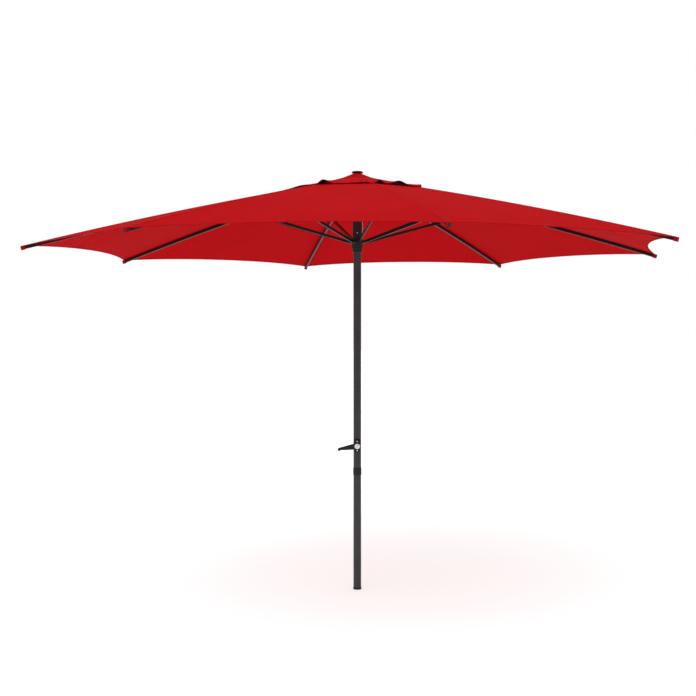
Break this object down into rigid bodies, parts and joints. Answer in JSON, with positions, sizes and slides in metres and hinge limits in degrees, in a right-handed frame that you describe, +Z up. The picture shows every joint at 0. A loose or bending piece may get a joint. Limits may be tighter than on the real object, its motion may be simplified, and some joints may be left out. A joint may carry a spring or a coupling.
{
  "type": "garden parasol",
  "caption": "Round crank-operated garden parasol with a vented cloth canopy on hinged ribs and struts and a two-piece round mast.",
  "frame": {"origin": "middle of the underside of the mast's foot cap, on the mast's axis", "axes": "+Z up the mast, +X along rib 1; the crank leaves the mast at -101.8 degrees round Z"},
  "size_m": [4.0052, 4.0052, 2.5828],
  "materials": {
    "mast_coating": "satin",
    "spigot_steel": "satin",
    "frame_coating": "satin",
    "moulded_black": "matte",
    "bright_steel": "polished",
    "braided_cord": "matte",
    "canopy_cloth": "matte"
  },
  "bodies": {
    "lower_mast": {"lower_mast": "mast_coating", "foot_cap": "moulded_black", "mast_collar": "moulded_black"},
    "upper_mast": {"upper_mast": "mast_coating", "mast_spigot": "spigot_steel", "crank_housing": "moulded_black", "housing_screw_upper": "bright_steel", "housing_screw_lower": "bright_steel", "top_hub": "moulded_black", "hub_ring_wire": "bright_steel", "finial": "moulded_black", "lift_cord": "braided_cord", "vent_cap": "canopy_cloth"},
    "runner": {"runner": "moulded_black"},
    "crank": {"crank_spindle": "bright_steel", "cord_drum": "moulded_black", "crank_arm": "moulded_black", "crank_hub_cap": "bright_steel"},
    "crank_knob": {"crank_knob": "moulded_black"},
    "cord_pulley": {"cord_pulley": "moulded_black"},
    "rib_1": {"rib_1": "frame_coating", "rib_tip_1": "moulded_black", "rib_bracket_1": "frame_coating", "canopy_gore_1": "canopy_cloth"},
    "strut_1": {"strut_1": "frame_coating"},
    "rib_2": {"rib_2": "frame_coating", "rib_tip_2": "moulded_black", "rib_bracket_2": "frame_coating", "canopy_gore_2": "canopy_cloth"},
    "strut_2": {"strut_2": "frame_coating"},
    "rib_3": {"rib_3": "frame_coating", "rib_tip_3": "moulded_black", "rib_bracket_3": "frame_coating", "canopy_gore_3": "canopy_cloth"},
    "strut_3": {"strut_3": "frame_coating"},
    "rib_4": {"rib_4": "frame_coating", "rib_tip_4": "moulded_black", "rib_bracket_4": "frame_coating", "canopy_gore_4": "canopy_cloth"},
    "strut_4": {"strut_4": "frame_coating"},
    "rib_5": {"rib_5": "frame_coating", "rib_tip_5": "moulded_black", "rib_bracket_5": "frame_coating", "canopy_gore_5": "canopy_cloth"},
    "strut_5": {"strut_5": "frame_coating"},
    "rib_6": {"rib_6": "frame_coating", "rib_tip_6": "moulded_black", "rib_bracket_6": "frame_coating", "canopy_gore_6": "canopy_cloth"},
    "strut_6": {"strut_6": "frame_coating"},
    "rib_7": {"rib_7": "frame_coating", "rib_tip_7": "moulded_black", "rib_bracket_7": "frame_coating", "canopy_gore_7": "canopy_cloth"},
    "strut_7": {"strut_7": "frame_coating"},
    "rib_8": {"rib_8": "frame_coating", "rib_tip_8": "moulded_black", "rib_bracket_8": "frame_coating", "canopy_gore_8": "canopy_cloth"},
    "strut_8": {"strut_8": "frame_coating"}
  },
  "joints": [
    {"name": "mast_lift", "type": "slide", "parent": "lower_mast", "child": "upper_mast", "axis": [0, 0, 1], "range_m": [0, 0.12]},
    {"name": "runner_slide", "type": "slide", "parent": "upper_mast", "child": "runner", "axis": [0, 0, -1], "range_m": [0, 1.1291], "deforming": ["lift_cord", "vent_cap"]},
    {"name": "crank_turn", "type": "hinge", "parent": "upper_mast", "child": "crank", "pos_m": [0, 0, 0.8875], "axis": [-0.2045, -0.9789, 0], "range_deg": [0, 4320.5]},
    {"name": "knob_spin", "type": "hinge", "parent": "crank", "child": "crank_knob", "pos_m": [-0.11953, -0.03122, 0.86998], "axis": [-0.2045, -0.9789, 0], "continuous": true},
    {"name": "pulley_spin", "type": "hinge", "parent": "upper_mast", "child": "cord_pulley", "pos_m": [0.01155, -0.00478, 2.458], "axis": [0.3827, 0.9239, 0], "range_deg": [0, 3156.24]},
    {"name": "rib_hinge_1", "type": "hinge", "parent": "upper_mast", "child": "rib_1", "pos_m": [0.045, 0, 2.518], "axis": [0, 1, 0], "range_deg": [0, 73.94], "deforming": ["canopy_gore_1"]},
    {"name": "strut_hinge_1", "type": "hinge", "parent": "rib_1", "child": "strut_1", "pos_m": [0.7747, 0, 2.3418], "axis": [0, 1, 0], "range_deg": [-146.08, 0]},
    {"name": "rib_hinge_2", "type": "hinge", "parent": "upper_mast", "child": "rib_2", "pos_m": [0.03182, 0.03182, 2.518], "axis": [-0.7071, 0.7071, 0], "range_deg": [0, 73.94], "deforming": ["canopy_gore_2"]},
    {"name": "strut_hinge_2", "type": "hinge", "parent": "rib_2", "child": "strut_2", "pos_m": [0.54779, 0.54779, 2.3418], "axis": [-0.7071, 0.7071, 0], "range_deg": [-146.08, 0]},
    {"name": "rib_hinge_3", "type": "hinge", "parent": "upper_mast", "child": "rib_3", "pos_m": [0, 0.045, 2.518], "axis": [-1, 0, 0], "range_deg": [0, 73.94], "deforming": ["canopy_gore_3"]},
    {"name": "strut_hinge_3", "type": "hinge", "parent": "rib_3", "child": "strut_3", "pos_m": [0, 0.7747, 2.3418], "axis": [-1, 0, 0], "range_deg": [-146.08, 0]},
    {"name": "rib_hinge_4", "type": "hinge", "parent": "upper_mast", "child": "rib_4", "pos_m": [-0.03182, 0.03182, 2.518], "axis": [-0.7071, -0.7071, 0], "range_deg": [0, 73.94], "deforming": ["canopy_gore_4"]},
    {"name": "strut_hinge_4", "type": "hinge", "parent": "rib_4", "child": "strut_4", "pos_m": [-0.54779, 0.54779, 2.3418], "axis": [-0.7071, -0.7071, 0], "range_deg": [-146.08, 0]},
    {"name": "rib_hinge_5", "type": "hinge", "parent": "upper_mast", "child": "rib_5", "pos_m": [-0.045, 0, 2.518], "axis": [0, -1, 0], "range_deg": [0, 73.94], "deforming": ["canopy_gore_5"]},
    {"name": "strut_hinge_5", "type": "hinge", "parent": "rib_5", "child": "strut_5", "pos_m": [-0.7747, 0, 2.3418], "axis": [0, -1, 0], "range_deg": [-146.08, 0]},
    {"name": "rib_hinge_6", "type": "hinge", "parent": "upper_mast", "child": "rib_6", "pos_m": [-0.03182, -0.03182, 2.518], "axis": [0.7071, -0.7071, 0], "range_deg": [0, 73.94], "deforming": ["canopy_gore_6"]},
    {"name": "strut_hinge_6", "type": "hinge", "parent": "rib_6", "child": "strut_6", "pos_m": [-0.54779, -0.54779, 2.3418], "axis": [0.7071, -0.7071, 0], "range_deg": [-146.08, 0]},
    {"name": "rib_hinge_7", "type": "hinge", "parent": "upper_mast", "child": "rib_7", "pos_m": [0, -0.045, 2.518], "axis": [1, 0, 0], "range_deg": [0, 73.94], "deforming": ["canopy_gore_7"]},
    {"name": "strut_hinge_7", "type": "hinge", "parent": "rib_7", "child": "strut_7", "pos_m": [0, -0.7747, 2.3418], "axis": [1, 0, 0], "range_deg": [-146.08, 0]},
    {"name": "rib_hinge_8", "type": "hinge", "parent": "upper_mast", "child": "rib_8", "pos_m": [0.03182, -0.03182, 2.518], "axis": [0.7071, 0.7071, 0], "range_deg": [0, 73.94], "deforming": ["canopy_gore_8"]},
    {"name": "strut_hinge_8", "type": "hinge", "parent": "rib_8", "child": "strut_8", "pos_m": [0.54779, -0.54779, 2.3418], "axis": [0.7071, 0.7071, 0], "range_deg": [-146.08, 0]}
  ],
  "couplings": [
    {"joint": "crank_turn", "follows": "runner_slide", "rad_per_m": 66.777},
    {"joint": "pulley_spin", "follows": "runner_slide", "rad_per_m": 48.781},
    {"joint": "rib_hinge_1", "follows": "runner_slide", "rad_per_m": 1.1427},
    {"joint": "strut_hinge_1", "follows": "runner_slide", "rad_per_m": -2.2577},
    {"joint": "rib_hinge_2", "follows": "runner_slide", "rad_per_m": 1.1427},
    {"joint": "strut_hinge_2", "follows": "runner_slide", "rad_per_m": -2.2577},
    {"joint": "rib_hinge_3", "follows": "runner_slide", "rad_per_m": 1.1427},
    {"joint": "strut_hinge_3", "follows": "runner_slide", "rad_per_m": -2.2577},
    {"joint": "rib_hinge_4", "follows": "runner_slide", "rad_per_m": 1.1427},
    {"joint": "strut_hinge_4", "follows": "runner_slide", "rad_per_m": -2.2577},
    {"joint": "rib_hinge_5", "follows": "runner_slide", "rad_per_m": 1.1427},
    {"joint": "strut_hinge_5", "follows": "runner_slide", "rad_per_m": -2.2577},
    {"joint": "rib_hinge_6", "follows": "runner_slide", "rad_per_m": 1.1427},
    {"joint": "strut_hinge_6", "follows": "runner_slide", "rad_per_m": -2.2577},
    {"joint": "rib_hinge_7", "follows": "runner_slide", "rad_per_m": 1.1427},
    {"joint": "strut_hinge_7", "follows": "runner_slide", "rad_per_m": -2.2577},
    {"joint": "rib_hinge_8", "follows": "runner_slide", "rad_per_m": 1.1427},
    {"joint": "strut_hinge_8", "follows": "runner_slide", "rad_per_m": -2.2577}
  ]
}
